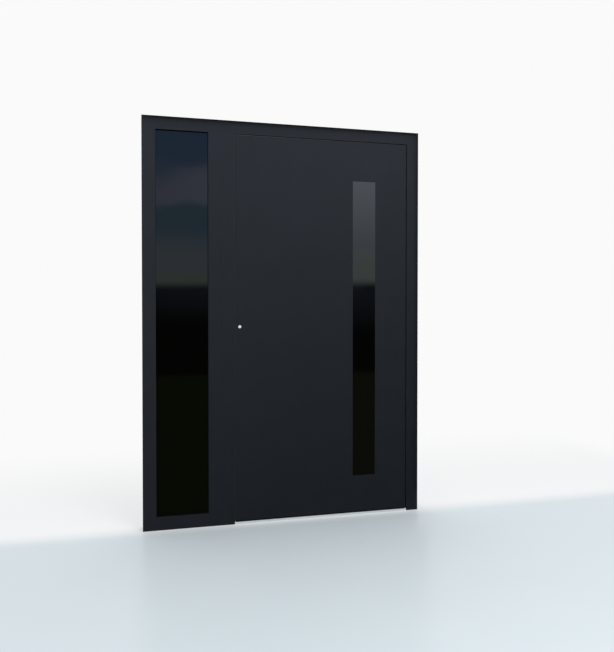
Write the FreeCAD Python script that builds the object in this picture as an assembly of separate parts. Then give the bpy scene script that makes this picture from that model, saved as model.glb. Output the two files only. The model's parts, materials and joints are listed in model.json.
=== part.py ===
"""Flush aluminium entrance door with one fixed sidelight, in millimetres.

X runs along the width, Y from the street into the house, Z up. The origin is on the underside of the
threshold, half way across the whole width and half way through the frame's depth. The street side is at
-Y. Every section is drawn in two directions: u from the outer edge of a frame or leaf towards its
middle, and v from the street face inwards.
"""
import FreeCAD, Part
import os

Vector = FreeCAD.Vector

# Whole unit
overall_width = 1600.0
overall_height = 2250.0
frame_depth = 80.0
sidelight_width = 428.0

# Frame section of the door, and of the sidelight apart from its shallower flange
frame_face = 72.0
rebate_width = 23.0
flange_depth = 20.0
frame_wall = 2.0
rebate_wall = 4.5
edge_chamfer = 0.8
outer_edge_chamfer = 0.3
groove_width = 4.0
groove_depth = 3.5
groove_edge = 8.0

# Thermal break between the outer and inner half of each section
break_start = 30.0
break_depth = 16.0
break_recess = 3.0
break_bar = 2.0

# Coupling of the sidelight to the door frame
coupling_clearance = 0.3

# Sidelight glazing
glazing_flange_depth = 10.0
pane_thickness = 6.0
pane_gap = 16.0
glass_edge_gap = 5.0
gasket_thickness = 4.0
gasket_lip = 1.0
spacer_width = 12.0
bead_wall = 1.5
bead_chamfer = 2.0
block_length = 100.0
block_inset = 25.0

# Gaps round the leaf
face_gap = 7.0
rebate_gap = 7.0
seal_thickness = 5.0
seal_width = 10.0
seat = 0.3
leaf_ground_gap = 6.0

# Threshold
threshold_height = 13.0
threshold_ramp = 6.0
threshold_edge = 9.0
tread_groove_width = 2.0
tread_groove_depth = 1.0
tread_groove_pitch = 7.0
tread_groove_count = 4
tread_band_share = 0.25

# Leaf
skin_thickness = 3.0
skin_chamfer = 0.8
stile_width = 60.0
leaf_wall = 2.0
leaf_edge_wall = 5.0
bottom_rail_height = 80.0
bottom_seal_width = 6.0
bottom_seal_groove = 8.0

# Glazed strip in the leaf
strip_width = 137.5
strip_from_hinge_edge = 191.5
strip_from_bottom = 211.0
strip_from_top = 225.0
middle_pane_thickness = 4.0
strip_spacer_width = 8.0
strip_gasket_thickness = 2.0
trim_thickness = 2.5
trim_flange = 18.0
trim_lip = 8.0

# Lock
lock_height = 1107.0
backset = 45.0
lever_above_cylinder = 92.0
cylinder_radius = 8.5
cylinder_tail_width = 10.0
cylinder_tail_drop = 24.5
cylinder_proud = 2.0
cylinder_round_depth = 6.0
keyway_width = 2.4
keyway_height = 9.0
keyway_depth = 4.0
lock_clearance = 0.3
faceplate_width = 24.0
faceplate_thickness = 3.0
faceplate_length = 1700.0
faceplate_from_inside = 18.0
case_thickness = 16.0
case_depth = 52.0
case_above = 150.0
case_below = 60.0
bolt_width = 11.0
latch_height = 32.0
latch_above_lever = 25.0
deadbolt_height = 36.0
deadbolt_above_cylinder = 28.0
bolt_window_clearance = 0.5
strike_length = 240.0
strike_thickness = 2.5

# Inside handle
rosette_radius = 26.0
rosette_thickness = 8.0
rosette_bevel = 1.5
lever_radius = 10.0
lever_stand_off = 52.0
lever_length = 125.0
lever_bend = 16.0
lever_end_bevel = 1.5
spindle_size = 8.0
spindle_length = 40.0
spindle_clearance = 2.0

# Hinges
hinge_count = 3
hinge_height = 120.0
hinge_from_bottom = 231.0
hinge_from_top = 194.0
knuckle_radius = 9.5
knuckle_share = 0.29
knuckle_gap = 0.3
hinge_stand_off = 11.0
pin_radius = 5.0
pin_clearance = 0.05
hinge_plate_start = 12.0
hinge_plate_width = 33.0
hinge_plate_thickness = 4.0
hinge_web_height = 8.0

# Wall fixings through the outer jambs
fixing_radius = 4.0
fixing_count = 4
fixing_from_end = 225.0

# What follows from the sizes above
left = -overall_width / 2
right = overall_width / 2
front = -frame_depth / 2
back = frame_depth / 2
door_left = left + sidelight_width
body_width = frame_face - rebate_width
break_end = break_start + break_depth
leaf_left = door_left + body_width + rebate_gap
leaf_right = right - body_width - rebate_gap
leaf_top = overall_height - body_width - rebate_gap
leaf_bottom = threshold_height + leaf_ground_gap
leaf_step = frame_face + face_gap - body_width - rebate_gap
leaf_rebate = flange_depth + seal_thickness + seat
strip_right = leaf_right - leaf_step - strip_from_hinge_edge
strip_left = strip_right - strip_width
strip_bottom = leaf_bottom + strip_from_bottom
strip_top = leaf_top - leaf_step - strip_from_top
lock_x = leaf_left + backset
lever_height = lock_height + lever_above_cylinder
hinge_x = right - body_width - rebate_gap / 2
hinge_y = back + hinge_stand_off

sidelight_box = (left, door_left, 0.0, overall_height)
door_box = (door_left, right, 0.0, overall_height)
leaf_box = (leaf_left, leaf_right, leaf_bottom, leaf_top)
strip_box = (strip_left, strip_right, strip_bottom, strip_top)


def chamfered(points):
    """Corner points as vectors: (u, v) stays sharp, (u, v, cut) gives way to the two ends of a chamfer."""
    corners = []
    for number, (u, v, *cut) in enumerate(points):
        corner = Vector(u, v, 0)
        if not cut:
            corners.append(corner)
            continue
        for neighbour in (points[number - 1], points[(number + 1) % len(points)]):
            towards = (Vector(neighbour[0], neighbour[1], 0) - corner).normalize()
            corners.append(corner + towards * cut[0])
    return corners


def section_face(outline, *chambers):
    """A flat section from corner points, with its chambers left open."""
    wires = []
    for points in (outline,) + chambers:
        corners = chamfered(points)
        wires.append(Part.makePolygon(corners + corners[:1]))
    return Part.makeFace(wires, "Part::FaceMakerBullseye")


def rectangle(u_start, v_start, u_end, v_end):
    """The corners of an upright rectangle in a section."""
    return [(u_start, v_start), (u_end, v_start), (u_end, v_end), (u_start, v_end)]


def block(x_start, x_end, v_start, v_end, z_start, z_end):
    """A plain block between two places along X, two depths from the street face and two heights."""
    corner = Vector(x_start, front + v_start, z_start)
    return Part.makeBox(x_end - x_start, v_end - v_start, z_end - z_start, corner)


def cut_bar(section, length, mitre_start, mitre_end):
    """A straight length of a section along Z, each end square or mitred at 45 degrees."""
    bounds = section.BoundBox
    margin = 1.0
    near = bounds.XMin - margin
    far = bounds.XMax + margin
    run_out = max(0.0, -bounds.XMin)
    bar = section.copy()
    bar.translate(Vector(0, 0, -run_out if mitre_start else 0.0))
    reach = length + (run_out if mitre_start else 0.0) + (run_out if mitre_end else 0.0)
    bar = bar.extrude(Vector(0, 0, reach))
    if not (mitre_start or mitre_end):
        return bar
    past_end = run_out + margin
    corners = [
        Vector(near, 0, near if mitre_start else -past_end),
        Vector(far, 0, far if mitre_start else -past_end),
        Vector(far, 0, length - far if mitre_end else length + past_end),
        Vector(near, 0, length - near if mitre_end else length + past_end),
    ]
    keep = Part.Face(Part.makePolygon(corners + corners[:1]))
    keep.translate(Vector(0, bounds.YMin - margin, 0))
    keep = keep.extrude(Vector(0, bounds.YLength + 2 * margin, 0))
    return bar.common(keep)


def side_bar(section, box, side, mitre_start=True, mitre_end=True):
    """One side of a rectangular frame: the section's u runs inwards from that side of the box."""
    box_left, box_right, box_bottom, box_top = box
    width = box_right - box_left
    height = box_top - box_bottom
    sides = {
        "left": (Vector(box_left, front, box_bottom), Vector(1, 0, 0), height),
        "right": (Vector(box_right, front, box_top), Vector(-1, 0, 0), height),
        "top": (Vector(box_left, front, box_top), Vector(0, 0, -1), width),
        "bottom": (Vector(box_right, front, box_bottom), Vector(0, 0, 1), width),
    }
    corner, across, length = sides[side]
    along = across.cross(Vector(0, 1, 0))
    bar = cut_bar(section, length, mitre_start, mitre_end)
    bar.Placement = FreeCAD.Placement(FreeCAD.Matrix(
        across.x, 0, along.x, corner.x,
        across.y, 1, along.y, corner.y,
        across.z, 0, along.z, corner.z,
        0, 0, 0, 1))
    return bar


def joined_ring(section, box):
    """Four mitred sides of a section, joined into one ring."""
    sides = [side_bar(section, box, side) for side in ("left", "right", "top", "bottom")]
    return sides[0].fuse(sides[1:]).removeSplitter()


def pane(box, inset, v_start, v_end):
    """A sheet that fills a box up to an inset from its edges."""
    box_left, box_right, box_bottom, box_top = box
    return block(box_left + inset, box_right - inset, v_start, v_end, box_bottom + inset, box_top - inset)


def frame_section(flange):
    """The frame's extrusion: an outer half with the flange, two bars across the break, an inner half."""
    wall = frame_wall
    groove_far = frame_face - groove_edge
    groove_near = groove_far - groove_width
    groove_floor = flange - groove_depth
    chamber_edge = body_width - rebate_wall
    outline = [
        (0, 0, outer_edge_chamfer),
        (frame_face, 0, edge_chamfer),
        (frame_face, flange, edge_chamfer),
        (groove_far, flange),
        (groove_far, groove_floor),
        (groove_near, groove_floor),
        (groove_near, flange),
        (body_width, flange),
        (body_width, break_start),
        (body_width - break_recess, break_start),
        (body_width - break_recess, break_end),
        (body_width, break_end),
        (body_width, frame_depth, edge_chamfer),
        (0, frame_depth, outer_edge_chamfer),
        (0, break_end),
        (break_recess, break_end),
        (break_recess, break_start),
        (0, break_start),
    ]
    outer_chamber = [
        (wall, wall),
        (frame_face - wall, wall),
        (frame_face - wall, flange - wall),
        (groove_far + wall, flange - wall),
        (groove_far + wall, groove_floor - wall),
        (groove_near - wall, groove_floor - wall),
        (groove_near - wall, flange - wall),
        (chamber_edge, flange - wall),
        (chamber_edge, break_start - wall),
        (wall, break_start - wall),
    ]
    bar_line = break_recess + break_bar
    break_chamber = rectangle(bar_line, break_start, body_width - bar_line, break_end)
    inner_chamber = rectangle(wall, break_end + wall, chamber_edge, frame_depth - wall)
    return section_face(outline, outer_chamber, break_chamber, inner_chamber)


def leaf_section():
    """The leaf's edge extrusion, stepped so that it closes behind the frame's flange."""
    wall = leaf_wall
    inner_face = frame_depth - skin_thickness
    outline = [
        (leaf_step, skin_thickness),
        (stile_width, skin_thickness),
        (stile_width, inner_face),
        (0, inner_face),
        (0, break_end),
        (break_recess, break_end),
        (break_recess, break_start),
        (0, break_start),
        (0, leaf_rebate),
        (leaf_step, leaf_rebate),
    ]
    outer_chamber = rectangle(leaf_step + wall, skin_thickness + wall, stile_width - wall, break_start - wall)
    break_chamber = rectangle(break_recess + break_bar, break_start, stile_width - break_bar, break_end)
    inner_chamber = rectangle(leaf_edge_wall, break_end + wall, stile_width - wall, inner_face - wall)
    return section_face(outline, outer_chamber, break_chamber, inner_chamber)


def bottom_rail_section():
    """The leaf's bottom rail, with a groove in its underside for the seal."""
    wall = leaf_wall
    inner_face = frame_depth - skin_thickness
    groove_start = (break_start + break_end - bottom_seal_width) / 2
    groove_end = groove_start + bottom_seal_width
    outline = [
        (0, skin_thickness),
        (bottom_rail_height, skin_thickness),
        (bottom_rail_height, inner_face),
        (0, inner_face),
        (0, groove_end),
        (bottom_seal_groove, groove_end),
        (bottom_seal_groove, groove_start),
        (0, groove_start),
    ]
    far = bottom_rail_height - wall
    outer_chamber = rectangle(wall, skin_thickness + wall, far, break_start - wall)
    break_chamber = rectangle(bottom_seal_groove + wall, break_start, far, break_end)
    inner_chamber = rectangle(wall, break_end + wall, far, inner_face - wall)
    return section_face(outline, outer_chamber, break_chamber, inner_chamber)


def bead_section():
    """A hollow glazing bead that closes the rebate from the room side."""
    start = glass_inner_face + gasket_thickness
    outline = [
        (body_width, start),
        (frame_face, start),
        (frame_face, frame_depth, bead_chamfer),
        (body_width, frame_depth),
    ]
    chamber = rectangle(body_width + bead_wall, start + bead_wall, frame_face - bead_chamfer - bead_wall,
                        frame_depth - bead_chamfer - bead_wall)
    return section_face(outline, chamber)


def outer_gasket_section():
    """The gasket between flange and glass, with its foot in the flange's groove."""
    groove_far = frame_face - groove_edge
    groove_near = groove_far - groove_width
    flange = glazing_flange_depth
    start = body_width + glass_edge_gap
    return section_face([
        (start, flange),
        (groove_near, flange),
        (groove_near, flange - groove_depth),
        (groove_far, flange - groove_depth),
        (groove_far, flange),
        (frame_face, flange),
        (frame_face + gasket_lip, flange + gasket_thickness / 2),
        (frame_face + gasket_lip, glass_outer_face),
        (start, glass_outer_face),
    ])


def inner_gasket_section():
    """The gasket between glass and bead."""
    start = body_width + glass_edge_gap
    bead_face = glass_inner_face + gasket_thickness
    return section_face([
        (start, glass_inner_face),
        (frame_face + gasket_lip, glass_inner_face),
        (frame_face + gasket_lip, glass_inner_face + gasket_thickness / 2),
        (frame_face, bead_face),
        (start, bead_face),
    ])


def stop_seal_section():
    """The seal that the leaf closes on, with its foot in the flange's groove."""
    groove_far = frame_face - groove_edge
    groove_near = groove_far - groove_width
    middle = (groove_near + groove_far) / 2
    crown = flange_depth + seal_thickness
    shoulder = seal_width / 4
    return section_face([
        (middle - seal_width / 2, flange_depth),
        (groove_near, flange_depth),
        (groove_near, flange_depth - groove_depth),
        (groove_far, flange_depth - groove_depth),
        (groove_far, flange_depth),
        (middle + seal_width / 2, flange_depth),
        (middle + seal_width / 2, crown - shoulder),
        (middle + shoulder, crown),
        (middle - shoulder, crown),
        (middle - seal_width / 2, crown - shoulder),
    ])


def strip_trim_section():
    """The trim that lines the strip's opening on the room side and holds its glass."""
    glass_face = strip_glass_depth + strip_gasket_thickness
    proud = frame_depth + trim_thickness
    return section_face([
        (0, glass_face),
        (trim_lip, glass_face),
        (trim_lip, glass_face + trim_thickness),
        (trim_thickness, glass_face + trim_thickness),
        (trim_thickness, proud, edge_chamfer),
        (-trim_flange, proud, edge_chamfer),
        (-trim_flange, frame_depth),
        (0, frame_depth),
    ])


def threshold_bar():
    """The low threshold: ramped edges, grip grooves on top, ends cut round the jambs."""
    top = threshold_height
    points = [(0, 0), (frame_depth, 0), (frame_depth, threshold_edge), (frame_depth - threshold_ramp, top)]
    half_pitches = (tread_groove_count - 1) / 2
    for centre in (frame_depth * (1 - tread_band_share), frame_depth * tread_band_share):
        for number in range(tread_groove_count):
            middle = centre + (half_pitches - number) * tread_groove_pitch
            start = middle + tread_groove_width / 2
            end = middle - tread_groove_width / 2
            floor = top - tread_groove_depth
            points.extend([(start, top), (start, floor), (end, floor), (end, top)])
    points.extend([(threshold_ramp, top), (0, threshold_edge)])
    start = door_left + body_width
    end = right - body_width
    corners = [Vector(start, front + v, z) for v, z in points]
    bar = Part.Face(Part.makePolygon(corners + corners[:1])).extrude(Vector(end - start, 0, 0))
    for x_start, x_end in ((start, start + rebate_width), (end - rebate_width, end)):
        bar = bar.cut(block(x_start, x_end, 0, flange_depth, 0, top))
    return bar


def along_depth(radius, x, z, v_start, v_end):
    """A round bar that runs through the depth, from one v to another."""
    return Part.makeCylinder(radius, v_end - v_start, Vector(x, front + v_start, z), Vector(0, 1, 0))


def fixing_holes(jamb, wall_x, into):
    """Drills the wall screws' holes from the wall side through both bars of the thermal break."""
    middle_y = front + (break_start + break_end) / 2
    spacing = (overall_height - 2 * fixing_from_end) / (fixing_count - 1)
    for number in range(fixing_count):
        height = fixing_from_end + number * spacing
        start = Vector(wall_x, middle_y, height)
        jamb = jamb.cut(Part.makeCylinder(fixing_radius, body_width, start, Vector(into, 0, 0)))
    return jamb


def cylinder_body(clearance, v_start, v_end):
    """The lock cylinder's round barrel with the narrow tail below it."""
    radius = cylinder_radius + clearance
    barrel = along_depth(radius, lock_x, lock_height, v_start, v_end)
    half_tail = cylinder_tail_width / 2 + clearance
    tail = block(lock_x - half_tail, lock_x + half_tail, v_start, v_end,
                 lock_height - cylinder_tail_drop - clearance, lock_height)
    return barrel.fuse(tail).removeSplitter()


def lock_cylinder():
    """A double cylinder: only its round barrel shows on the street side, with a key slot at each end."""
    v_start = -cylinder_proud
    v_end = frame_depth + rosette_thickness + cylinder_proud
    barrel = along_depth(cylinder_radius, lock_x, lock_height, v_start, v_end)
    body = barrel.fuse(cylinder_body(0, cylinder_round_depth, v_end)).removeSplitter()
    half_slot = keyway_width / 2
    for slot_start in (v_start, v_end - keyway_depth):
        body = body.cut(block(lock_x - half_slot, lock_x + half_slot, slot_start, slot_start + keyway_depth,
                              lock_height - keyway_height / 2, lock_height + keyway_height / 2))
    return body


def lock_stile():
    """The leaf's stile on the lock side, cut for the faceplate, the case, the cylinder and the spindle."""
    stile = side_bar(leaf_section(), leaf_box, "left", mitre_start=False)
    plate = faceplate_blank(0)
    stile = stile.cut(plate)
    stile = stile.cut(case_blank(lock_clearance))
    stile = stile.cut(cylinder_body(lock_clearance, cylinder_round_depth - lock_clearance, frame_depth))
    stile = stile.cut(along_depth(cylinder_radius + lock_clearance, lock_x, lock_height, 0, frame_depth))
    return stile.cut(spindle_hole())


def faceplate_blank(clearance):
    """The lock faceplate's outline, let into the edge of the stile."""
    v_end = frame_depth - faceplate_from_inside + faceplate_width / 2
    z_middle = (leaf_bottom + leaf_top) / 2
    return block(leaf_left, leaf_left + faceplate_thickness, v_end - faceplate_width - clearance,
                 v_end + clearance, z_middle - faceplate_length / 2, z_middle + faceplate_length / 2)


def case_blank(clearance):
    """The lock case, behind the faceplate inside the stile."""
    v_middle = frame_depth - faceplate_from_inside
    x_start = leaf_left + faceplate_thickness
    return block(x_start, x_start + case_depth + clearance, v_middle - case_thickness / 2 - clearance,
                 v_middle + case_thickness / 2 + clearance, lock_height - case_below - clearance,
                 lock_height + case_above + clearance)


def bolt_blanks(clearance):
    """Latch and deadbolt, drawn back level with the faceplate."""
    v_middle = frame_depth - faceplate_from_inside
    half_width = bolt_width / 2 + clearance
    bolts = []
    latch_middle = lever_height + latch_above_lever
    deadbolt_middle = lock_height + deadbolt_above_cylinder
    for height, z_middle in ((latch_height, latch_middle), (deadbolt_height, deadbolt_middle)):
        half_height = height / 2 + clearance
        bolts.append(block(leaf_left, leaf_left + faceplate_thickness, v_middle - half_width,
                           v_middle + half_width, z_middle - half_height, z_middle + half_height))
    return bolts


def lock_case():
    """The lock case with its two bolts, open where the cylinder and the spindle pass through."""
    case = case_blank(0).fuse(bolt_blanks(0)).removeSplitter()
    case = case.cut(cylinder_body(lock_clearance, 0, frame_depth))
    return case.cut(spindle_hole())


def spindle_hole():
    """The round hole that the handle's spindle turns in."""
    radius = spindle_size / 2 + spindle_clearance
    v_start = frame_depth - spindle_length - spindle_clearance
    return along_depth(radius, lock_x, lever_height, v_start, frame_depth + rosette_thickness)


def rosette(z_middle):
    """A round cover plate on the room side."""
    disc = along_depth(rosette_radius, lock_x, z_middle, frame_depth, frame_depth + rosette_thickness)
    rim = [edge for edge in disc.Edges
           if edge.BoundBox.YMin > back + rosette_thickness - rosette_bevel and len(edge.Vertexes) == 1]
    return disc.makeChamfer(rosette_bevel, rim)


def lever_handle():
    """A round bar lever: neck, quarter bend and grip in one sweep, with a square spindle."""
    start = Vector(lock_x, back + rosette_thickness, lever_height)
    bend_start = Vector(lock_x, back + lever_stand_off - lever_bend, lever_height)
    bend_end = Vector(lock_x + lever_bend, back + lever_stand_off, lever_height)
    centre = Vector(bend_end.x, bend_start.y, lever_height)
    middle = centre + Vector(-1, 1, 0).normalize() * lever_bend
    end = Vector(lock_x + lever_length, bend_end.y, lever_height)
    path = Part.Wire([
        Part.LineSegment(start, bend_start).toShape(),
        Part.Arc(bend_start, middle, bend_end).toShape(),
        Part.LineSegment(bend_end, end).toShape(),
    ])
    circle = Part.Wire(Part.makeCircle(lever_radius, start, Vector(0, 1, 0)))
    lever = path.makePipeShell([circle], True, False)
    tip = [edge for edge in lever.Edges if edge.BoundBox.XMin > end.x - lever_end_bevel]
    lever = lever.makeChamfer(lever_end_bevel, tip)
    half = spindle_size / 2
    spindle = block(lock_x - half, lock_x + half, frame_depth - spindle_length,
                    frame_depth + rosette_thickness, lever_height - half, lever_height + half)
    return lever.fuse(spindle)


def knuckle(radius, z_start, z_end):
    """A round piece of the hinge, about the hinge's axis."""
    return Part.makeCylinder(radius, z_end - z_start, Vector(hinge_x, hinge_y, z_start))


def hinge_plate(direction, z_middle):
    """A hinge's flat plate, on the room face beside the axis."""
    near = hinge_x + direction * hinge_plate_start
    far = near + direction * hinge_plate_width
    x_start = min(near, far)
    return block(x_start, x_start + hinge_plate_width, frame_depth, frame_depth + hinge_plate_thickness,
                 z_middle - hinge_height / 2, z_middle + hinge_height / 2)


def hinge_web(direction, z_start, z_end):
    """The web that carries a knuckle on its plate."""
    x_start = min(hinge_x, hinge_x + direction * hinge_plate_start)
    return block(x_start, x_start + hinge_plate_start, frame_depth + seat, frame_depth + hinge_web_height,
                 z_start, z_end)


def frame_hinge_half(z_middle):
    """The fixed half: plate, two end knuckles and the pin through them."""
    length = hinge_height * knuckle_share
    low = z_middle - hinge_height / 2
    high = z_middle + hinge_height / 2
    pieces = [knuckle(pin_radius, low, high)]
    for z_start, z_end in ((low, low + length), (high - length, high)):
        pieces.append(knuckle(knuckle_radius, z_start, z_end))
        pieces.append(hinge_web(1, z_start, z_end))
    return hinge_plate(1, z_middle).fuse(pieces).removeSplitter()


def leaf_hinge_half(z_middle):
    """The moving half: plate and middle knuckle, bored for the pin."""
    reach = hinge_height / 2 - hinge_height * knuckle_share - knuckle_gap
    z_start = z_middle - reach
    z_end = z_middle + reach
    barrel = knuckle(knuckle_radius, z_start, z_end)
    half = hinge_plate(-1, z_middle).fuse([barrel, hinge_web(-1, z_start, z_end)]).removeSplitter()
    return half.cut(knuckle(pin_radius + pin_clearance, z_start, z_end))


# Depths that the glazing works out from its own sizes
glass_outer_face = glazing_flange_depth + gasket_thickness
glass_inner_face = glass_outer_face + 2 * pane_thickness + pane_gap
strip_glass_depth = 2 * pane_thickness + 2 * pane_gap + middle_pane_thickness


def sidelight_frame():
    """The sidelight's four mitred frame members."""
    section = frame_section(glazing_flange_depth)
    left_jamb = side_bar(section, sidelight_box, "left")
    return {
        "sidelight_left_jamb": fixing_holes(left_jamb, left, 1),
        "sidelight_right_jamb": side_bar(section, sidelight_box, "right"),
        "sidelight_head": side_bar(section, sidelight_box, "top"),
        "sidelight_sill": side_bar(section, sidelight_box, "bottom"),
    }


def sidelight_glazing():
    """Two panes with their spacer, gaskets, beads and setting blocks."""
    inset = body_width + glass_edge_gap
    second_face = glass_outer_face + pane_thickness + pane_gap
    first_back = glass_outer_face + pane_thickness
    spacer = section_face(rectangle(inset, first_back, inset + spacer_width, second_face))
    pieces = {
        "sidelight_outer_pane": pane(sidelight_box, inset, glass_outer_face, first_back),
        "sidelight_inner_pane": pane(sidelight_box, inset, second_face, glass_inner_face),
        "sidelight_spacer": joined_ring(spacer, sidelight_box),
        "sidelight_gaskets": Part.makeCompound([
            joined_ring(outer_gasket_section(), sidelight_box),
            joined_ring(inner_gasket_section(), sidelight_box),
        ]),
    }
    for side in ("left", "right", "top", "bottom"):
        pieces["sidelight_bead_" + side] = side_bar(bead_section(), sidelight_box, side)
    blocks = []
    glass_left = left + inset
    glass_right = door_left - inset
    for x_start in (glass_left + block_inset, glass_right - block_inset - block_length):
        blocks.append(block(x_start, x_start + block_length, glass_outer_face, glass_inner_face,
                            body_width, inset))
    pieces["sidelight_setting_blocks"] = Part.makeCompound(blocks)
    return pieces


def door_frame():
    """The door's jambs and head, the seal in them, the threshold, the coupling bar and the strike plate."""
    section = frame_section(flange_depth)
    strike_v = frame_depth - faceplate_from_inside
    strike_x = door_left + body_width
    strike_middle = (lock_height + lever_height + latch_above_lever) / 2
    strike = block(strike_x - strike_thickness, strike_x, strike_v - faceplate_width / 2,
                   strike_v + faceplate_width / 2, strike_middle - strike_length / 2,
                   strike_middle + strike_length / 2)
    lock_jamb = side_bar(section, door_box, "left", mitre_start=False).cut(strike)
    for bolt in bolt_blanks(bolt_window_clearance):
        window = bolt.BoundBox
        strike = strike.cut(Part.makeBox(strike_thickness, window.YLength, window.ZLength,
                                         Vector(strike_x - strike_thickness, window.YMin, window.ZMin)))
    hinge_jamb = side_bar(section, door_box, "right", mitre_end=False)
    seal = stop_seal_section()
    seals = [
        side_bar(seal, door_box, "left", mitre_start=False),
        side_bar(seal, door_box, "top"),
        side_bar(seal, door_box, "right", mitre_end=False),
    ]
    threshold = threshold_bar()
    low_end = block(door_left, right, 0, frame_depth, 0, threshold_height)
    coupling = block(door_left - break_recess, door_left + break_recess, break_start + coupling_clearance,
                     break_end - coupling_clearance, 0, overall_height - break_recess)
    return {
        "lock_jamb": lock_jamb,
        "hinge_jamb": fixing_holes(hinge_jamb, right, -1),
        "door_head": side_bar(section, door_box, "top"),
        "threshold": threshold,
        "stop_seal": seals[0].fuse(seals[1:]).removeSplitter().cut(low_end),
        "coupling_bar": coupling,
        "strike_plate": strike,
    }


def leaf_body():
    """The leaf's edge members, core and skins."""
    section = leaf_section()
    core_box = (leaf_left + stile_width, leaf_right - stile_width, leaf_bottom + bottom_rail_height,
                leaf_top - stile_width)
    strip_hole = pane(strip_box, 0, 0, frame_depth)
    core = pane(core_box, 0, skin_thickness, frame_depth - skin_thickness).cut(strip_hole)
    outer_box = (leaf_left + leaf_step, leaf_right - leaf_step, leaf_bottom, leaf_top - leaf_step)
    outer_skin = pane(outer_box, 0, 0, skin_thickness)
    rim = [edge for edge in outer_skin.Edges if edge.BoundBox.YMax < front + skin_thickness / 2]
    outer_skin = outer_skin.makeChamfer(skin_chamfer, rim).cut(strip_hole)
    barrel_hole = along_depth(cylinder_radius + lock_clearance, lock_x, lock_height, 0, skin_thickness)
    inner_skin = pane(leaf_box, 0, frame_depth - skin_thickness, frame_depth).cut(strip_hole)
    inner_skin = inner_skin.cut(cylinder_body(lock_clearance, 0, frame_depth)).cut(spindle_hole())
    rail_box = (leaf_left + stile_width, leaf_right - stile_width, leaf_bottom, leaf_top)
    return {
        "leaf_lock_stile": lock_stile(),
        "leaf_hinge_stile": side_bar(section, leaf_box, "right", mitre_end=False),
        "leaf_top_rail": side_bar(section, leaf_box, "top"),
        "leaf_bottom_rail": side_bar(bottom_rail_section(), rail_box, "bottom", False, False),
        "leaf_core": core,
        "leaf_outer_skin": outer_skin.cut(barrel_hole),
        "leaf_inner_skin": inner_skin,
        "leaf_bottom_seal": bottom_seal(),
    }


def bottom_seal():
    """The seal in the bottom rail's groove, down to just above the threshold."""
    v_start = (break_start + break_end - bottom_seal_width) / 2
    v_end = v_start + bottom_seal_width
    foot = block(leaf_left + stile_width, leaf_right - stile_width, v_start, v_end, leaf_bottom,
                 leaf_bottom + bottom_seal_groove)
    blade = block(leaf_left, leaf_right, v_start, v_end, threshold_height + seat, leaf_bottom)
    return foot.fuse(blade).removeSplitter()


def strip_glazing():
    """Three panes level with the street face, two spacers and a gasket round their edges, and the trim."""
    first_gap = pane_thickness
    middle_start = first_gap + pane_gap
    middle_end = middle_start + middle_pane_thickness
    inner_start = middle_end + pane_gap
    rings = [
        rectangle(0, first_gap, strip_spacer_width, middle_start),
        rectangle(0, middle_end, strip_spacer_width, inner_start),
        rectangle(0, strip_glass_depth, trim_lip, strip_glass_depth + strip_gasket_thickness),
    ]
    seals = [joined_ring(section_face(ring), strip_box) for ring in rings]
    return {
        "strip_outer_pane": pane(strip_box, 0, 0, pane_thickness),
        "strip_middle_pane": pane(strip_box, 0, middle_start, middle_end),
        "strip_inner_pane": pane(strip_box, 0, inner_start, strip_glass_depth),
        "strip_edge_seals": Part.makeCompound(seals),
        "strip_trim": joined_ring(strip_trim_section(), strip_box),
    }


def lock_parts():
    """Everything of the lock and handle that the leaf carries."""
    plate = faceplate_blank(0)
    for bolt in bolt_blanks(bolt_window_clearance):
        plate = plate.cut(bolt)
    return {
        "lock_faceplate": plate,
        "lock_case": lock_case(),
        "lock_cylinder": lock_cylinder(),
        "lever_handle": lever_handle(),
        "lever_rosette": rosette(lever_height).cut(spindle_hole()),
        "cylinder_rosette": rosette(lock_height).cut(cylinder_body(lock_clearance, 0, 2 * frame_depth)),
    }


def hinges():
    """Barrel hinges on the room side, spread evenly between the lowest and the highest."""
    lowest = leaf_bottom + hinge_from_bottom
    highest = leaf_top - hinge_from_top
    names = ("bottom", "middle", "top")
    pieces = {}
    for number in range(hinge_count):
        z_middle = lowest + (highest - lowest) * number / (hinge_count - 1)
        pieces["hinge_frame_half_" + names[number]] = frame_hinge_half(z_middle)
        pieces["hinge_leaf_half_" + names[number]] = leaf_hinge_half(z_middle)
    return pieces


def main():
    os.makedirs("parts", exist_ok=True)
    fixed_groups = (sidelight_frame, sidelight_glazing, door_frame)
    moving_groups = (leaf_body, strip_glazing, lock_parts)
    for group in fixed_groups + moving_groups + (hinges,):
        for name, shape in group().items():
            shape.exportStep(os.path.join("parts", name + ".step"))


main()
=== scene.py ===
"""Finish, light and small fittings of the entrance door with its sidelight, all in metres."""
import json
import math

import bmesh
import bpy
from mathutils import Matrix, Vector


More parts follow.
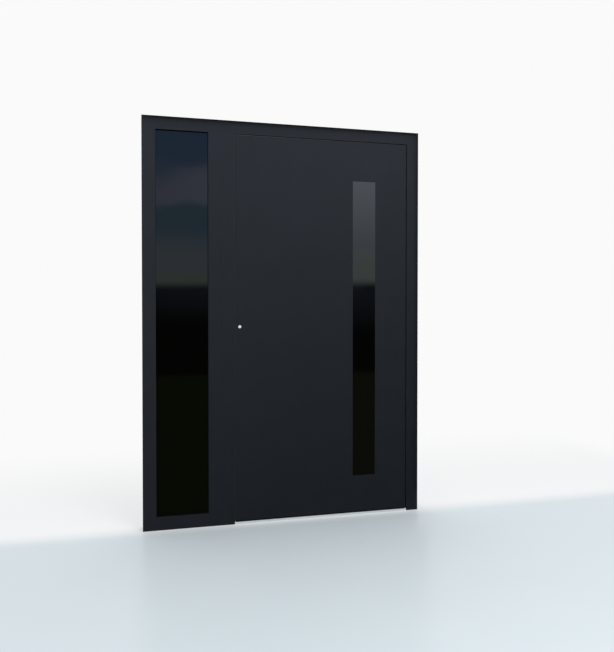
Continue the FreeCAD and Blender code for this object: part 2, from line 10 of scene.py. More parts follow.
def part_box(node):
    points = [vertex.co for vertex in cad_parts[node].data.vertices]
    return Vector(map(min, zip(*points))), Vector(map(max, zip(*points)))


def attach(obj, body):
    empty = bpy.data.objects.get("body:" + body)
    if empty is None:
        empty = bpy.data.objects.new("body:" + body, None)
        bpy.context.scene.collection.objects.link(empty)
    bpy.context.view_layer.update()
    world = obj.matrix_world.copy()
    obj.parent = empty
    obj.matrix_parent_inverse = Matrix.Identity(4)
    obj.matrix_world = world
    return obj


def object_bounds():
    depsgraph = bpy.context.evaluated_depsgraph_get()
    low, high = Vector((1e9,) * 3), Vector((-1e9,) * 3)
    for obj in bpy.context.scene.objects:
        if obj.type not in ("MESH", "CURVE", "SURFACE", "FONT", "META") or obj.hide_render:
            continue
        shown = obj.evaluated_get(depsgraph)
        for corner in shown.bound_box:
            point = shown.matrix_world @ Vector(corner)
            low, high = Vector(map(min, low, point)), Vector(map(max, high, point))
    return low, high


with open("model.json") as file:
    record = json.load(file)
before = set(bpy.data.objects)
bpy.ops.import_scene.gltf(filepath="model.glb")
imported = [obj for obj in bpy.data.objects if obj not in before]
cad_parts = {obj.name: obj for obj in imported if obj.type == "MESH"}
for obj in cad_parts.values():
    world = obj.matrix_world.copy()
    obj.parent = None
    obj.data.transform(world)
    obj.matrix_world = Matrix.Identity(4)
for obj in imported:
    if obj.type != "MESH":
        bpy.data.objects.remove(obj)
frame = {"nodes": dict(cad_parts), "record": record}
cad_box = [list(corner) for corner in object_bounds()]
nodes = frame["nodes"]

# Camera, worked out from the photograph's perspective
IMAGE_HEIGHT = 652
CAMERA_PLACE = (-0.8237, -3.7242, 1.2370)
CAMERA_YAW = math.radians(14.317)
CAMERA_PITCH = math.radians(0.911)
FOCAL_PIXELS = 664.0
OPTICAL_AXIS_ROW = 314.0
SENSOR = 36.0
FARTHEST_SEEN = 200.0

# Light
DAYLIGHT = (0.94, 0.97, 1.0)
DAYLIGHT_STRENGTH = 0.80
LAMP_PLACE = (1.5, -4.2, 5.2)
LAMP_AIM = (0, 0, 0.8)
LAMP_WIDTH = 3.0
LAMP_ENERGY = 140.0

# Floor: its tones, and the ranges over which it turns white far away and behind the door, where white
# glow is painted over its shadow
WHITE = (0.955, 0.955, 0.955)
FLOOR_REACH = 60.0
FLOOR_TONES = ((0.73, 0.80, 0.83), (0.78, 0.85, 0.87))
FLOOR_BEHIND = (0.95, 0.95, 0.95)
FLOOR_FADE = (1.8, 3.5)
FLOOR_TURN = (-0.15, 0.10)
# Behind the door, painted white glow over the door's shadow: the depths over which it grows, and its
# share close to the door
SHADOW_FADE = (0.1, 2.2)
WHITE_NEAR_DOOR = 0.6

# Dark flags that shade the outer edge of the head and of the hinge side
FLAG_COLOUR = (0.01, 0.01, 0.01)
FLAG_GAP = 0.002
FLAG_REACH = 0.031
FLAG_WIDTH = 0.06
SIDE_FLAG_FOOT = 0.12

# Colours that glass and metal mirror, in pairs from left to right or from low to high
DOME_RADIUS = 9.0
LOW_FIELD = ((0.021, 0.025, 0.008), (0.033, 0.034, 0.020))
DARK_BAND = ((0.004, 0.004, 0.003), (0.036, 0.046, 0.066))
HAZE = ((0.262, 0.312, 0.278), (0.262, 0.308, 0.37))
CLEAR_SKY = ((0.145, 0.235, 0.325), (0.128, 0.208, 0.362))
CLOUD = ((0.30, 0.325, 0.465), (0.33, 0.365, 0.50))
BRIGHT_HAZE = ((0.43, 0.51, 0.48), (0.455, 0.52, 0.60))
BRIGHT_SKY = (0.78, 0.85, 0.98)
TOP_OF_SKY = (0.86, 0.92, 1.02)
LEFT_SIDE = ((0.12, 0.16, 0.22), (0.64, 0.675, 0.73))
RIGHT_SIDE = (0.10, 0.12, 0.16)
REAR = ((0.20, 0.20, 0.205), (0.62, 0.63, 0.64))

# Heights on the dome where the mirrored colours change
LOW_FIELD_EDGE = (-0.17, -0.05)
DARK_BAND_RISE = (0.75, 1.58)
SKYLINE = (1.49, 1.67)
HAZE_RISE = (1.62, 2.0)
HAZE_EDGE = (2.1, 2.72)
CLEAR_RISE = (3.1, 3.9)
CLOUD_FOOT = (2.80, 3.14)
CLOUD_TOP = (3.36, 3.86)
BRIGHT_HAZE_RISE = (1.95, 2.35)
BRIGHT_RISE = (2.35, 3.40)
TOP_RISE = (4.4, 6.4)
SIDE_RISE = (-2.4, -0.2)
REAR_RISE = (-2.0, 3.0)

# The same from left to right, and from front to rear
CLOUD_TURN = (-0.5, 0.5)
BRIGHT_START = (1.0, 2.9)
BRIGHT_END = (5.0, 7.0)
LOW_FIELD_TURN = (1.0, 3.0)
LEFT_EDGE = (-3.1, -0.85)
RIGHT_EDGE = (5.4, 7.8)
REAR_EDGE = (-1.0, 2.5)

# Sizes of the door that the finish and the fittings follow
FRONT = -0.040
FRAME_FACE = 0.072
BREAK_START = FRONT + 0.030
BREAK_END = FRONT + 0.046
CYLINDER_RADIUS = 0.0085
KNUCKLE_RADIUS = 0.0095
HINGE_PLATE_WIDTH = 0.033
HINGE_PLATE_FACE = 0.044
ROSETTE_FACE = 0.048
LEVELS = ("bottom", "middle", "top")

# Screw heads as radius and height, and their places up and across a hinge plate
HINGE_SCREW = (0.0042, 0.0014)
LOCK_SCREW = (0.0036, 0.0009)
HINGE_SCREW_PLACES = ((-0.046, 0.007), (-0.016, -0.007), (0.016, 0.007), (0.046, -0.007))
FACEPLATE_SCREWS = 7
FACEPLATE_SCREW_INSET = 0.025
STRIKE_SCREW_INSET = 0.0125

# Turned fittings as radius and height
HINGE_CAP = ((0.0068, 0.0), (0.0068, 0.0016), (0.0060, 0.0027), (0.0038, 0.0034), (0.0, 0.0037))
PLUG_JOINT = ((0.0060, 0.0), (0.0060, 0.00001), (0.0063, 0.00001), (0.0063, 0.0))
LEVER_BUSH = ((0.0103, 0.0), (0.0103, 0.0022), (0.0125, 0.0022), (0.0132, 0.0014), (0.0132, 0.0))

# Seals: the bulb and the jamb's lip as share of their reach and depth, the leaf's lip as drop and depth
LEAF_BULB = ((0.0, 0.0034), (0.3, 0.0030), (0.85, 0.0038), (1.0, 0.0064), (1.0, 0.0085),
             (0.8, 0.0100), (0.0, 0.0100))
JAMB_LIP = ((0.0, 0.0005), (0.9, 0.0005), (1.0, 0.0012), (0.95, 0.0030), (0.5, 0.0085), (0.0, 0.0090))
FOOT_LIP = ((0.0, 0.0002), (0.0044, 0.0004), (0.0056, 0.0012), (0.0052, 0.0022), (0.0, 0.0028))
BULB_CLEARANCE = 0.0011
BULB_FORWARD = 0.0012
BULB_SUNK = 0.0010
LIP_CLEARANCE = 0.0007
SEAL_FOOT_INSET = 0.001
LIP_END_INSET = 0.0005

# The black lip round the sidelight's glass, painted shade on the faces round it: its thickness, its
# foot, and its share beside the door and on top
LIP_THICKNESS = 0.0006
LIP_FOOT = 0.0012
LIP_BESIDE_DOOR = 2.6
LIP_ON_TOP = 0.3

# Colours of paint, seals and metal
PAINT = (0.0049, 0.0070, 0.0105)
DUST = (0.08, 0.078, 0.07)
BREAK_PLASTIC = (0.0055, 0.0055, 0.006)
# Rubber lighter than the paint: painted light that lifts the shade in the lock-side gap
SHADE_LIFTED_RUBBER = (0.0058, 0.0082, 0.0122)
SILVER = (0.74, 0.755, 0.77)
STAINLESS = (0.70, 0.69, 0.67)


def shade(colour, factor=1.0):
    """A colour made lighter or darker, with the alpha that sockets want."""
    return tuple(channel * factor for channel in colour) + (1.0,)


def middle(low, high):
    """The value half way between two."""
    return (low + high) / 2


def facing(place, direction):
    """A place whose local Z points in a direction."""
    turn = Vector(direction).to_track_quat("Z", "Y")
    return Matrix.Translation(place) @ turn.to_matrix().to_4x4()


def link_object(name, data):
    """A new object in the scene that holds this data."""
    obj = bpy.data.objects.new(name, data)
    bpy.context.collection.objects.link(obj)
    return obj


def background_rays(tree):
    """1 for rays straight from the camera, mirrored or through glass: they see the white background."""
    path = tree.nodes.new("ShaderNodeLightPath")
    seen = path.outputs["Is Camera Ray"]
    for name in ("Is Glossy Ray", "Is Transmission Ray"):
        either = tree.nodes.new("ShaderNodeMath")
        either.operation = "MAXIMUM"
        tree.links.new(seen, either.inputs[0])
        tree.links.new(path.outputs[name], either.inputs[1])
        seen = either.outputs["Value"]
    return seen


class Shader:
    """A material's node tree, with short calls for what the materials here share."""

    def __init__(self, name):
        self.material = bpy.data.materials.new(name)
        self.material.use_nodes = True
        self.tree = self.material.node_tree
        self.surface = self.tree.nodes["Principled BSDF"]
        self.output = self.tree.nodes["Material Output"]
        self.place = self.add("ShaderNodeTexCoord").outputs["Object"]

    def add(self, kind, **settings):
        """A new node with these settings."""
        node = self.tree.nodes.new(kind)
        for key, value in settings.items():
            setattr(node, key, value)
        return node

    def feed(self, socket, value):
        """Links a socket, or sets a plain value on it."""
        if isinstance(value, bpy.types.NodeSocket):
            self.tree.links.new(value, socket)
        else:
            socket.default_value = value

    def finish(self, **sockets):
        """Sets or links the surface's own sockets, their names written with underscores."""
        for key, value in sockets.items():
            self.feed(self.surface.inputs[key.replace("_", " ")], value)
        return self.material

    def stretch(self, scale):
        """The place on the object, scaled along each axis."""
        mapping = self.add("ShaderNodeMapping")
        self.feed(mapping.inputs["Scale"], scale)
        self.feed(mapping.inputs["Vector"], self.place)
        return mapping.outputs["Vector"]

    def noise(self, scale, detail=2.0, roughness=0.5, vector=None):
        """Soft random values, finer with a larger scale."""
        texture = self.add("ShaderNodeTexNoise")
        self.feed(texture.inputs["Scale"], scale)
        self.feed(texture.inputs["Detail"], detail)
        self.feed(texture.inputs["Roughness"], roughness)
        self.feed(texture.inputs["Vector"], vector or self.place)
        return texture.outputs["Fac"]

    def spread(self, source, low, high, start=0.0, end=1.0, smooth=False):
        """Maps the range from start to end to the one from low to high."""
        kind = "SMOOTHSTEP" if smooth else "LINEAR"
        node = self.add("ShaderNodeMapRange", interpolation_type=kind)
        self.feed(node.inputs["Value"], source)
        self.feed(node.inputs["From Min"], start)
        self.feed(node.inputs["From Max"], end)
        self.feed(node.inputs["To Min"], low)
        self.feed(node.inputs["To Max"], high)
        return node.outputs["Result"]

    def rise(self, source, start, end, smooth=True):
        """0 up to the start and 1 from the end on."""
        return self.spread(source, 0.0, 1.0, start, end, smooth)

    def fall(self, source, start, end):
        """1 up to the start and 0 from the end on."""
        return self.spread(source, 1.0, 0.0, start, end, smooth=True)

    def math(self, operation, first, second):
        """Works one value out of two, by the named operation."""
        node = self.add("ShaderNodeMath", operation=operation)
        self.feed(node.inputs[0], first)
        self.feed(node.inputs[1], second)
        return node.outputs["Value"]

    def mix(self, factor, first, second):
        """Mixes two colours."""
        node = self.add("ShaderNodeMix", data_type="RGBA")
        self.feed(node.inputs["Factor"], factor)
        self.feed(node.inputs[6], first)
        self.feed(node.inputs[7], second)
        return node.outputs[2]

    def blend(self, factor, first, second):
        """Mixes two colours that are written without alpha."""
        return self.mix(factor, shade(first), shade(second))

    def axes(self):
        """The coordinates of the place on the object, as X, Y and Z."""
        node = self.add("ShaderNodeSeparateXYZ")
        self.feed(node.inputs[0], self.place)
        return node.outputs

    def edge(self, radius):
        """A mask that is 1 along sharp outer edges, and the normal that rounds them."""
        bevel = self.add("ShaderNodeBevel", samples=4)
        self.feed(bevel.inputs["Radius"], radius)
        geometry = self.add("ShaderNodeNewGeometry")
        turn = self.add("ShaderNodeVectorMath", operation="DOT_PRODUCT")
        self.feed(turn.inputs[0], bevel.outputs["Normal"])
        self.feed(turn.inputs[1], geometry.outputs["Normal"])
        mask = self.spread(turn.outputs["Value"], 1.0, 0.0, 0.80, 0.995)
        return mask, bevel.outputs["Normal"]

    def bump(self, height, strength, distance, normal=None):
        """A bumped normal, on top of another one if given."""
        node = self.add("ShaderNodeBump")
        self.feed(node.inputs["Strength"], strength)
        self.feed(node.inputs["Distance"], distance)
        self.feed(node.inputs["Height"], height)
        if normal is not None:
            self.feed(node.inputs["Normal"], normal)
        return node.outputs["Normal"]


def painted_metal(name, with_break=False):
    """Powder coat: cloudy tone, grain, a trace of dust at the foot and rubbed edges."""
    shader = Shader(name)
    cloud = shader.noise(5.0, detail=5.0, roughness=0.6)
    mottle = shader.noise(38.0, detail=3.0, vector=shader.stretch((1.0, 1.0, 0.6)))
    grain = shader.noise(900.0, detail=2.0)
    cloud = shader.spread(cloud, 0.0, 1.0, 0.3, 0.7)
    tone = shader.mix(cloud, shade(PAINT, 0.88), shade(PAINT, 1.12))
    tone = shader.mix(shader.spread(mottle, 0.0, 0.35, 0.42, 0.68), tone, shade(PAINT, 1.5))
    tone = shader.mix(shader.spread(grain, 0.0, 0.5, 0.52, 0.75), tone, shade(PAINT, 1.7))

    place = shader.axes()
    foot = shader.spread(place["Z"], 0.008, 0.0, 0.0, 0.06, smooth=True)
    dusty = shader.math("MULTIPLY", foot, shader.noise(22.0, detail=6.0))
    tone = shader.mix(dusty, tone, shade(DUST))

    edge, rounded = shader.edge(0.0009)
    rubbing = shader.spread(shader.noise(70.0, detail=3.0), 0.0, 0.5, 0.4, 0.75)
    tone = shader.mix(shader.math("MULTIPLY", edge, rubbing), tone, shade(PAINT, 2.6))

    gloss = shader.spread(shader.noise(7.0, detail=5.0), 0.46, 0.58)
    if with_break:
        after_start = shader.math("GREATER_THAN", place["Y"], BREAK_START)
        before_end = shader.math("LESS_THAN", place["Y"], BREAK_END)
        inside = shader.math("MULTIPLY", after_start, before_end)
        tone = shader.mix(inside, tone, shade(BREAK_PLASTIC))
        gloss = shader.math("ADD", gloss, shader.math("MULTIPLY", inside, 0.15))

    peel = shader.bump(shader.noise(160.0, detail=1.0), 0.10, 0.0003, rounded)
    texture = shader.bump(grain, 0.45, 0.00025, peel)
    return shader.finish(Base_Color=tone, Roughness=gloss, IOR=1.565, Normal=texture)


def dark_glass(name, shade_tone, ior):
    """Dark insulating glass, with a little roller wave, film and dust in its mirror image."""
    shader = Shader(name)
    # The opaque pane's near-black tone is painted shade, standing in for the dark space behind the
    # glass
    tone = shader.mix(shader.noise(3.0, detail=3.0), shade(shade_tone, 0.8), shade(shade_tone, 1.2))
    film = shader.spread(shader.noise(14.0, detail=6.0), 0.015, 0.06, 0.35, 0.8)
    wave = shader.noise(1.2, detail=1.0, vector=shader.stretch((1.0, 1.0, 0.4)))
    wave = shader.bump(wave, 0.08, 0.004)
    return shader.finish(Base_Color=tone, Roughness=film, IOR=ior, Normal=wave)


def rubber(name, colour, bloom_strength, ior, gloss=0.5, smoothest=0.50):
    """Sealing rubber with a pale bloom and fine pitting."""
    shader = Shader(name)
    bloom = shader.noise(45.0, detail=5.0)
    tone = shader.mix(bloom, shade(colour), shade(colour, bloom_strength))
    roughness = shader.spread(bloom, smoothest, smoothest + 0.25)
    pitting = shader.bump(shader.noise(1100.0, detail=2.0), 0.3, 0.0001)
    return shader.finish(Base_Color=tone, Roughness=roughness, IOR=ior,
                         Specular_IOR_Level=gloss, Normal=pitting)


def bare_metal(name, colour, gloss, direction, brush_scale=1500.0, metallic=1.0):
    """Bare metal brushed along one axis, cloudy, with brighter worn edges."""
    shader = Shader(name)
    scale = [brush_scale, brush_scale, brush_scale]
    scale["XYZ".index(direction)] = brush_scale * 0.015
    brushing = shader.noise(1.0, detail=4.0, vector=shader.stretch(scale))
    tone = shader.mix(shader.noise(14.0, detail=4.0), shade(colour, 0.88), shade(colour))
    tone = shader.mix(shader.spread(brushing, 0.0, 0.3), tone, shade(colour, 0.78))
    edge, rounded = shader.edge(0.0006)
    tone = shader.mix(shader.math("MULTIPLY", edge, 0.4), tone, shade(colour, 1.12))
    roughness = shader.spread(brushing, gloss * 0.8, gloss * 1.3)
    texture = shader.bump(brushing, 0.12, 0.00008, rounded)
    return shader.finish(Base_Color=tone, Metallic=metallic, Roughness=roughness, Normal=texture)


def moulded_plastic(name, colour, gloss):
    """Moulded plastic or cut foam with a fine grain."""
    shader = Shader(name)
    cloud = shader.noise(30.0, detail=4.0)
    tone = shader.mix(cloud, shade(colour, 0.85), shade(colour, 1.15))
    roughness = shader.spread(cloud, gloss * 0.9, gloss * 1.1)
    grain = shader.bump(shader.noise(700.0, detail=2.0), 0.2, 0.0002)
    return shader.finish(Base_Color=tone, Roughness=roughness, IOR=1.48, Normal=grain)


materials = {
    "frame_paint": painted_metal("frame_paint", with_break=True),
    "leaf_paint": painted_metal("leaf_paint"),
    "leaf_edge_paint": painted_metal("leaf_edge_paint", with_break=True),
    "hinge_paint": painted_metal("hinge_paint"),
    # Opaque and near black: painted shade for the dark space behind the glass
    "clear_glass": dark_glass("clear_glass", (0.0007, 0.0009, 0.0007), 1.85),
    "black_rubber": rubber("black_rubber", (0.0025, 0.0025, 0.0028), 1.8, 1.38, gloss=0.3),
    "grey_rubber": rubber("grey_rubber", (0.0027, 0.0037, 0.0054), 1.3, 1.86, smoothest=0.34),
    # Lighter than the paint: painted light for the lip in the shaded lock-side gap
    "shade_lifted_rubber": rubber("shade_lifted_rubber", SHADE_LIFTED_RUBBER, 1.12, 1.69, smoothest=0.42),
    "black_plastic": moulded_plastic("black_plastic", (0.010, 0.010, 0.011), 0.5),
    "rigid_foam": moulded_plastic("rigid_foam", (0.55, 0.50, 0.36), 0.8),
    "silver_anodised": bare_metal("silver_anodised", SILVER, 0.45, "X", 900.0, metallic=0.12),
    "stainless": bare_metal("stainless", STAINLESS, 0.24, "X"),
    "stainless_upright": bare_metal("stainless_upright", STAINLESS, 0.26, "Z"),
    "steel": bare_metal("steel", (0.56, 0.56, 0.56), 0.38, "Z", 600.0),
    # Near white and barely metallic: the cylinder's bright nickel, with a painted highlight on top of
    # it
    "nickel": bare_metal("nickel", (0.97, 0.97, 0.965), 0.40, "Z", 700.0, metallic=0.12),
}


def dress_nodes():
    """Gives each CAD node the finish of its slot, or a variant with its own brushing or break."""
    variants = {
        "lock_faceplate": "stainless_upright",
        "strike_plate": "stainless_upright",
        "leaf_lock_stile": "leaf_edge_paint",
        "leaf_hinge_stile": "leaf_edge_paint",
        "leaf_top_rail": "leaf_edge_paint",
        "leaf_bottom_rail": "leaf_edge_paint",
    }
    slots = {row["node"]: row["material_slot"] for row in frame["record"]["subparts"]}
    for name, obj in nodes.items():
        for place in obj.material_slots:
            place.material = materials[variants.get(name, slots[name])]


def add_piece(name, shape, finish, body):
    """Turns mesh data in the making into a piece that rides on a body."""
    bmesh.ops.recalc_face_normals(shape, faces=shape.faces)
    mesh = bpy.data.meshes.new(name)
    shape.to_mesh(mesh)
    shape.free()
    mesh.materials.append(materials[finish])
    piece = link_object(name, mesh)
    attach(piece, body)


def join_rings(shape, rings):
    """Skins neighbouring rings of corners; a ring of one corner closes the form."""
    for lower, upper in zip(rings, rings[1:]):
        count = max(len(lower), len(upper))
        for number in range(count):
            after = number + 1
            corners = [lower[number % len(lower)], lower[after % len(lower)],
                       upper[after % len(upper)], upper[number % len(upper)]]
            face = shape.faces.new(dict.fromkeys(corners))
            face.smooth = True


def turned(shape, place, profile, segments=32):
    """Adds a turned form to a shape: (radius, height) points spun about the place's Z."""
    rings = []
    for radius, height in profile:
        count = segments if radius else 1
        angles = [math.tau * number / segments for number in range(count)]
        points = [Vector((radius * math.cos(angle), radius * math.sin(angle), height))
                  for angle in angles]
        rings.append([shape.verts.new(place @ point) for point in points])
    join_rings(shape, rings)


def screw_head(shape, place, radius, height):
    """Adds a low round screw head with a hexagon socket, standing on its place."""
    segments = 24
    angles = [math.tau * number / segments for number in range(segments)]
    side = math.tau / 6
    flat = radius * 0.42
    socket_floor = height * 0.25

    def ring(reach, level):
        """A ring of corners, reach away from the middle at each angle."""
        points = [Vector((reach(angle) * math.cos(angle), reach(angle) * math.sin(angle), level))
                  for angle in angles]
        return [shape.verts.new(place @ point) for point in points]

    def socket(angle):
        """How far the hexagon reaches at an angle."""
        return flat / math.cos(angle % side - side / 2)

    rings = [ring(lambda angle, share=share: radius * share, height * level)
             for share, level in ((1.0, 0.0), (1.0, 0.45), (0.93, 0.78), (0.78, 1.0))]
    rings += [ring(socket, height), ring(socket, socket_floor)]
    rings.append([shape.verts.new(place @ Vector((0, 0, socket_floor)))])
    join_rings(shape, rings)


def add_hinge_screws():
    """Four screw heads on each half of each hinge."""
    for level in LEVELS:
        for half, body, side in (("hinge_frame_half_", "frame", 1), ("hinge_leaf_half_", "leaf", -1)):
            low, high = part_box(half + level)
            outer = high.x if side > 0 else low.x
            plate = outer - side * HINGE_PLATE_WIDTH / 2
            height = middle(low.z, high.z)
            screws = bmesh.new()
            for step, shift in HINGE_SCREW_PLACES:
                place = (plate + side * shift, HINGE_PLATE_FACE, height + step)
                screw_head(screws, facing(place, (0, 1, 0)), *HINGE_SCREW)
            add_piece(half + level + "_screws", screws, "stainless", body)


def add_lock_screws():
    """Screw heads on the faceplate and the strike plate."""
    low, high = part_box("lock_faceplate")
    length = high.z - low.z - 2 * FACEPLATE_SCREW_INSET
    screws = bmesh.new()
    for number in range(FACEPLATE_SCREWS):
        height = low.z + FACEPLATE_SCREW_INSET + length * number / (FACEPLATE_SCREWS - 1)
        place = (low.x, middle(low.y, high.y), height)
        screw_head(screws, facing(place, (-1, 0, 0)), *LOCK_SCREW)
    add_piece("faceplate_screws", screws, "stainless", "leaf")

    low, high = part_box("strike_plate")
    screws = bmesh.new()
    heights = (low.z + STRIKE_SCREW_INSET, middle(low.z, high.z), high.z - STRIKE_SCREW_INSET)
    for height in heights:
        place = (high.x, middle(low.y, high.y), height)
        screw_head(screws, facing(place, (1, 0, 0)), *LOCK_SCREW)
    add_piece("strike_screws", screws, "stainless", "frame")


def add_hinge_caps():
    """Low domed caps on both ends of each hinge pin."""
    for level in LEVELS:
        low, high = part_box("hinge_leaf_half_" + level)
        axis = (high.x - KNUCKLE_RADIUS, high.y - KNUCKLE_RADIUS)
        low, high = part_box("hinge_frame_half_" + level)
        caps = bmesh.new()
        turned(caps, facing((*axis, high.z), (0, 0, 1)), HINGE_CAP)
        turned(caps, facing((*axis, low.z), (0, 0, -1)), HINGE_CAP)
        add_piece("hinge_caps_" + level, caps, "black_plastic", "frame")


def add_lock_details():
    """The joint round the cylinder's plug on both faces, and the bush under the lever."""
    low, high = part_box("lock_cylinder")
    x = middle(low.x, high.x)
    z = high.z - CYLINDER_RADIUS
    rings = bmesh.new()
    turned(rings, facing((x, low.y, z), (0, -1, 0)), PLUG_JOINT, 48)
    turned(rings, facing((x, high.y, z), (0, 1, 0)), PLUG_JOINT, 48)
    add_piece("cylinder_plug_joint", rings, "black_plastic", "leaf")

    low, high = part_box("lever_rosette")
    bush = bmesh.new()
    place = (middle(low.x, high.x), ROSETTE_FACE, middle(low.z, high.z))
    turned(bush, facing(place, (0, 1, 0)), LEVER_BUSH, 48)
    add_piece("lever_bush", bush, "black_plastic", "leaf")


def seal_run(name, sections, body, finish, endless=False):
    """A soft seal skinned through its sections, either endless or closed at both ends."""
    shape = bmesh.new()
    rings = [[shape.verts.new(point) for point in section] for section in sections]
    if endless:
        join_rings(shape, rings + rings[:1])
    else:
        join_rings(shape, rings)
        shape.faces.new(rings[0])
        shape.faces.new(rings[-1])
    for face in shape.faces:
        face.smooth = False
    add_piece(name, shape, finish, body)


def add_gap_seals():
    """Seals round the leaf: a bulb on its top and hinge edge, a lip on the lock jamb, one under it."""
    skin_low, skin_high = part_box("leaf_outer_skin")
    jamb_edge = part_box("lock_jamb")[1].x
    head_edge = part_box("door_head")[1].z - FRAME_FACE
    foot = skin_low.z + SEAL_FOOT_INSET
    gap = skin_low.x - jamb_edge

    reach = gap - BULB_CLEARANCE
    start = [(skin_low.x, FRONT - BULB_FORWARD + depth, skin_high.z + out * reach)
             for out, depth in LEAF_BULB]
    corner = [(skin_high.x + out * reach, FRONT + BULB_SUNK + depth, skin_high.z + out * reach)
              for out, depth in LEAF_BULB]
    end = [(x, y, foot) for x, y, z in corner]
    seal_run("gap_seal", [start, corner, end], "leaf", "grey_rubber")

    # The lock jamb's lip is lighter than the paint: painted light that lifts the shade in its gap
    reach = gap - LIP_CLEARANCE
    sections = [[(jamb_edge + out * reach, FRONT + depth, height) for out, depth in JAMB_LIP]
                for height in (foot, head_edge)]
    seal_run("gap_seal_lock_side", sections, "frame", "shade_lifted_rubber")

    sections = [[(side, FRONT + depth, skin_low.z - drop) for drop, depth in FOOT_LIP]
                for side in (skin_low.x + LIP_END_INSET, skin_high.x - LIP_END_INSET)]
    seal_run("gap_seal_foot", sections, "leaf", "black_rubber")


def add_glazing_lip():
    """The gasket's lip round the sidelight's glass, widest beside the door and thinnest on top: a black
    sheet over the faces round the glass, painted shade that shows widest beside the door.
    """
    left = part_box("sidelight_left_jamb")[0].x + FRAME_FACE
    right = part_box("sidelight_right_jamb")[1].x - FRAME_FACE
    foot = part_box("sidelight_sill")[0].z + FRAME_FACE
    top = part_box("sidelight_head")[1].z - FRAME_FACE
    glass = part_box("sidelight_outer_pane")[0].y - 0.0001
    lip = [(0.0, FRONT + 0.0006), (LIP_THICKNESS, FRONT + 0.0012), (LIP_THICKNESS, glass - 0.0030),
           (LIP_FOOT, glass), (0.0, glass)]
    # The share on each side sets how wide the lip's painted shade shows there
    corners = [(left, 1, foot, 1), (right, -LIP_BESIDE_DOOR, foot, 1),
               (right, -LIP_BESIDE_DOOR, top, -LIP_ON_TOP), (left, 1, top, -LIP_ON_TOP)]
    sections = [[(x + inwards * inset, depth, z + upwards * inset) for inset, depth in lip]
                for x, inwards, z, upwards in corners]
    seal_run("glazing_lip", sections, "frame", "black_rubber", endless=True)


def add_floor():
    """A pale floor that keeps its shadow in front of the door and fades to white far away and behind
    it, where painted white glow covers most of the shadow.
    """
    mesh = bpy.data.meshes.new("floor")
    corners = [(-FLOOR_REACH, -FLOOR_REACH, 0), (FLOOR_REACH, -FLOOR_REACH, 0),
               (FLOOR_REACH, FLOOR_REACH, 0), (-FLOOR_REACH, FLOOR_REACH, 0)]
    mesh.from_pydata(corners, [], [(0, 1, 2, 3)])
    floor = link_object("floor", mesh)

    shader = Shader("floor")
    depth = shader.axes()["Y"]
    length = shader.add("ShaderNodeVectorMath", operation="LENGTH")
    shader.feed(length.inputs[0], shader.place)
    distant = shader.rise(length.outputs["Value"], *FLOOR_FADE)
    behind = shader.rise(depth, *FLOOR_TURN)
    pale = shader.blend(shader.noise(1.5, detail=4.0), *FLOOR_TONES)
    tone = shader.mix(shader.math("MAXIMUM", distant, behind), pale, shade(FLOOR_BEHIND))
    shader.finish(Base_Color=tone, Roughness=0.30, IOR=1.42)

    white = shader.add("ShaderNodeEmission")
    shader.feed(white.inputs["Color"], shade(WHITE))
    # A share of white glow behind the door: painted light that covers most of the door's shadow there
    share = shader.spread(depth, WHITE_NEAR_DOOR, 1.0, *SHADOW_FADE, smooth=True)
    whiter = shader.math("MAXIMUM", distant, shader.math("MULTIPLY", behind, share))
    fade = shader.add("ShaderNodeMixShader")
    shader.feed(fade.inputs["Fac"], shader.math("MULTIPLY", whiter, background_rays(shader.tree)))
    shader.feed(fade.inputs[1], shader.surface.outputs["BSDF"])
    shader.feed(fade.inputs[2], white.outputs["Emission"])
    shader.feed(shader.output.inputs["Surface"], fade.outputs["Shader"])
    mesh.materials.append(shader.material)
    floor.visible_glossy = False


def mirrored_front(shader, x, z):
    """What is mirrored on the door's outer side: a low field, a dark band, and sky with cloud."""
    haze = shader.blend(shader.rise(z, *HAZE_RISE), *HAZE)
    clear = shader.blend(shader.rise(z, *CLEAR_RISE), *CLEAR_SKY)
    sky = shader.mix(shader.rise(z, *HAZE_EDGE), haze, clear)

    drift = shader.noise(0.9, detail=2.0, vector=shader.stretch((0.8, 0.8, 1.3)))
    wavy = shader.math("ADD", z, shader.spread(drift, -0.22, 0.22, 0.3, 0.7))
    slant = shader.math("ADD", wavy, shader.math("MULTIPLY", x, -0.12))
    above = shader.rise(wavy, *CLOUD_FOOT)
    below = shader.fall(slant, *CLOUD_TOP)
    cloud = shader.blend(shader.rise(x, *CLOUD_TURN, smooth=False), *CLOUD)
    sky = shader.mix(shader.math("MULTIPLY", above, below), sky, cloud)

    from_left = shader.rise(x, *BRIGHT_START)
    to_right = shader.fall(x, *BRIGHT_END)
    bright = shader.blend(shader.rise(z, *BRIGHT_HAZE_RISE, smooth=False), *BRIGHT_HAZE)
    bright = shader.mix(shader.rise(z, *BRIGHT_RISE, smooth=False), bright, shade(BRIGHT_SKY))
    sky = shader.mix(shader.math("MULTIPLY", from_left, to_right), sky, bright)
    sky = shader.mix(shader.rise(z, *TOP_RISE), sky, shade(TOP_OF_SKY))

    level = shader.math("ADD", z, shader.math("MULTIPLY", x, -0.012))
    sloping = shader.math("ADD", z, shader.math("MULTIPLY", x, 0.05))
    band = shader.blend(shader.rise(sloping, *DARK_BAND_RISE), *DARK_BAND)
    field = shader.blend(shader.rise(x, *LOW_FIELD_TURN, smooth=False), *LOW_FIELD)
    low = shader.mix(shader.rise(level, *LOW_FIELD_EDGE), field, band)
    front = shader.mix(shader.rise(level, *SKYLINE), low, sky)

    left = shader.blend(shader.rise(z, *SIDE_RISE), *LEFT_SIDE)
    front = shader.mix(shader.fall(x, *LEFT_EDGE), front, left)
    return shader.mix(shader.rise(x, *RIGHT_EDGE), front, shade(RIGHT_SIDE))


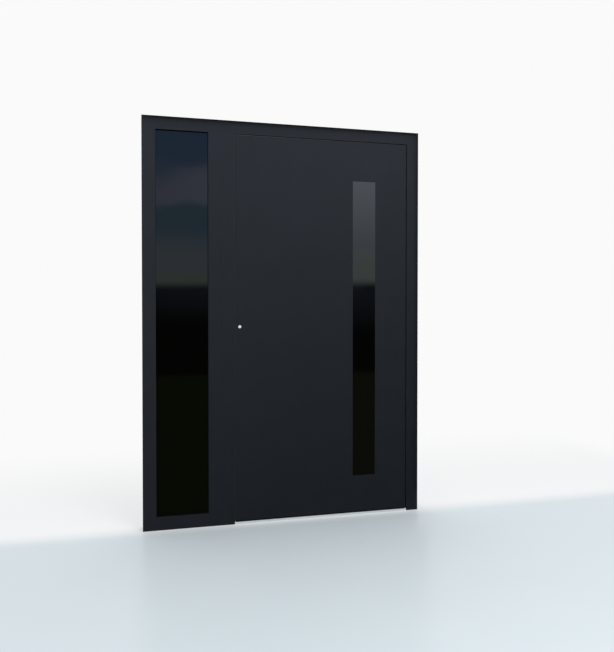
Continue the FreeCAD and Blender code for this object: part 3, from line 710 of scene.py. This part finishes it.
def add_surroundings():
    """A dome of soft colours that only glass and metal see, mirrored."""
    mesh = bpy.data.meshes.new("surroundings")
    ball = bmesh.new()
    bmesh.ops.create_uvsphere(ball, u_segments=64, v_segments=48, radius=DOME_RADIUS)
    bmesh.ops.reverse_faces(ball, faces=ball.faces)
    ball.to_mesh(mesh)
    ball.free()
    dome = link_object("surroundings", mesh)
    for ray in ("camera", "diffuse", "transmission", "shadow", "volume_scatter"):
        setattr(dome, "visible_" + ray, False)

    shader = Shader("surroundings")
    x, y, z = shader.axes()
    front = mirrored_front(shader, x, z)
    rear = shader.blend(shader.rise(z, *REAR_RISE, smooth=False), *REAR)
    glow = shader.add("ShaderNodeEmission")
    shader.feed(glow.inputs["Color"], shader.mix(shader.rise(y, *REAR_EDGE), front, rear))
    shader.feed(shader.output.inputs["Surface"], glow.outputs["Emission"])
    shader.material.cycles.emission_sampling = "NONE"
    mesh.materials.append(shader.material)


def add_flags():
    """Dark flags that the camera doesn't see, just outside the head and the hinge side."""
    shader = Shader("flag")
    shader.finish(Base_Color=shade(FLAG_COLOUR), Roughness=0.9)
    near = FRONT - 0.001
    far = near - FLAG_REACH
    low, high = cad_box
    above = high[2] + FLAG_GAP
    beside = high[0] + FLAG_GAP
    outer = high[0] + FLAG_WIDTH
    boxes = {
        "head_flag": ((low[0], far, above), (outer, near, high[2] + FLAG_WIDTH)),
        "side_flag": ((beside, far, SIDE_FLAG_FOOT), (outer, near, above)),
    }
    faces = [(0, 2, 3, 1), (4, 5, 7, 6), (0, 1, 5, 4), (2, 6, 7, 3), (0, 4, 6, 2), (1, 3, 7, 5)]
    for name, ends in boxes.items():
        corners = [[ends[number >> axis & 1][axis] for axis in range(3)] for number in range(8)]
        mesh = bpy.data.meshes.new(name)
        mesh.from_pydata(corners, [], faces)
        mesh.materials.append(shader.material)
        flag = link_object(name, mesh)
        flag.visible_camera = False
        flag.visible_transmission = False


def set_camera():
    """The photograph's viewpoint, with the image's long side on the sensor."""
    data = bpy.data.cameras.new("camera")
    data.lens = FOCAL_PIXELS / IMAGE_HEIGHT * SENSOR
    data.sensor_width = SENSOR
    data.shift_y = (OPTICAL_AXIS_ROW - IMAGE_HEIGHT / 2) / IMAGE_HEIGHT
    data.clip_end = FARTHEST_SEEN
    camera = link_object("camera", data)
    camera.location = CAMERA_PLACE
    camera.rotation_euler = (math.radians(90) - CAMERA_PITCH, 0, -CAMERA_YAW)
    bpy.context.scene.camera = camera


def set_light():
    """White for the camera, even soft daylight for the surfaces, and one broad lamp for shape."""
    world = bpy.data.worlds.new("world")
    bpy.context.scene.world = world
    world.use_nodes = True
    tree = world.node_tree
    light = tree.nodes["Background"]
    light.inputs["Color"].default_value = shade(DAYLIGHT)
    light.inputs["Strength"].default_value = DAYLIGHT_STRENGTH
    white = tree.nodes.new("ShaderNodeBackground")
    white.inputs["Color"].default_value = shade(WHITE)
    white.inputs["Strength"].default_value = 1.0
    mix = tree.nodes.new("ShaderNodeMixShader")
    tree.links.new(background_rays(tree), mix.inputs["Fac"])
    tree.links.new(light.outputs["Background"], mix.inputs[1])
    tree.links.new(white.outputs["Background"], mix.inputs[2])
    tree.links.new(mix.outputs["Shader"], tree.nodes["World Output"].inputs["Surface"])

    data = bpy.data.lights.new("soft_lamp", "AREA")
    data.shape = "DISK"
    data.size = LAMP_WIDTH
    data.energy = LAMP_ENERGY
    lamp = link_object("soft_lamp", data)
    lamp.location = LAMP_PLACE
    aim = Vector(LAMP_AIM) - lamp.location
    lamp.rotation_euler = aim.to_track_quat("-Z", "Y").to_euler()
    lamp.visible_glossy = False


bpy.context.scene.view_settings.view_transform = "Standard"
set_camera()
set_light()
add_floor()
add_surroundings()
add_flags()
dress_nodes()
add_hinge_screws()
add_lock_screws()
add_hinge_caps()
add_lock_details()
add_gap_seals()
add_glazing_lip()
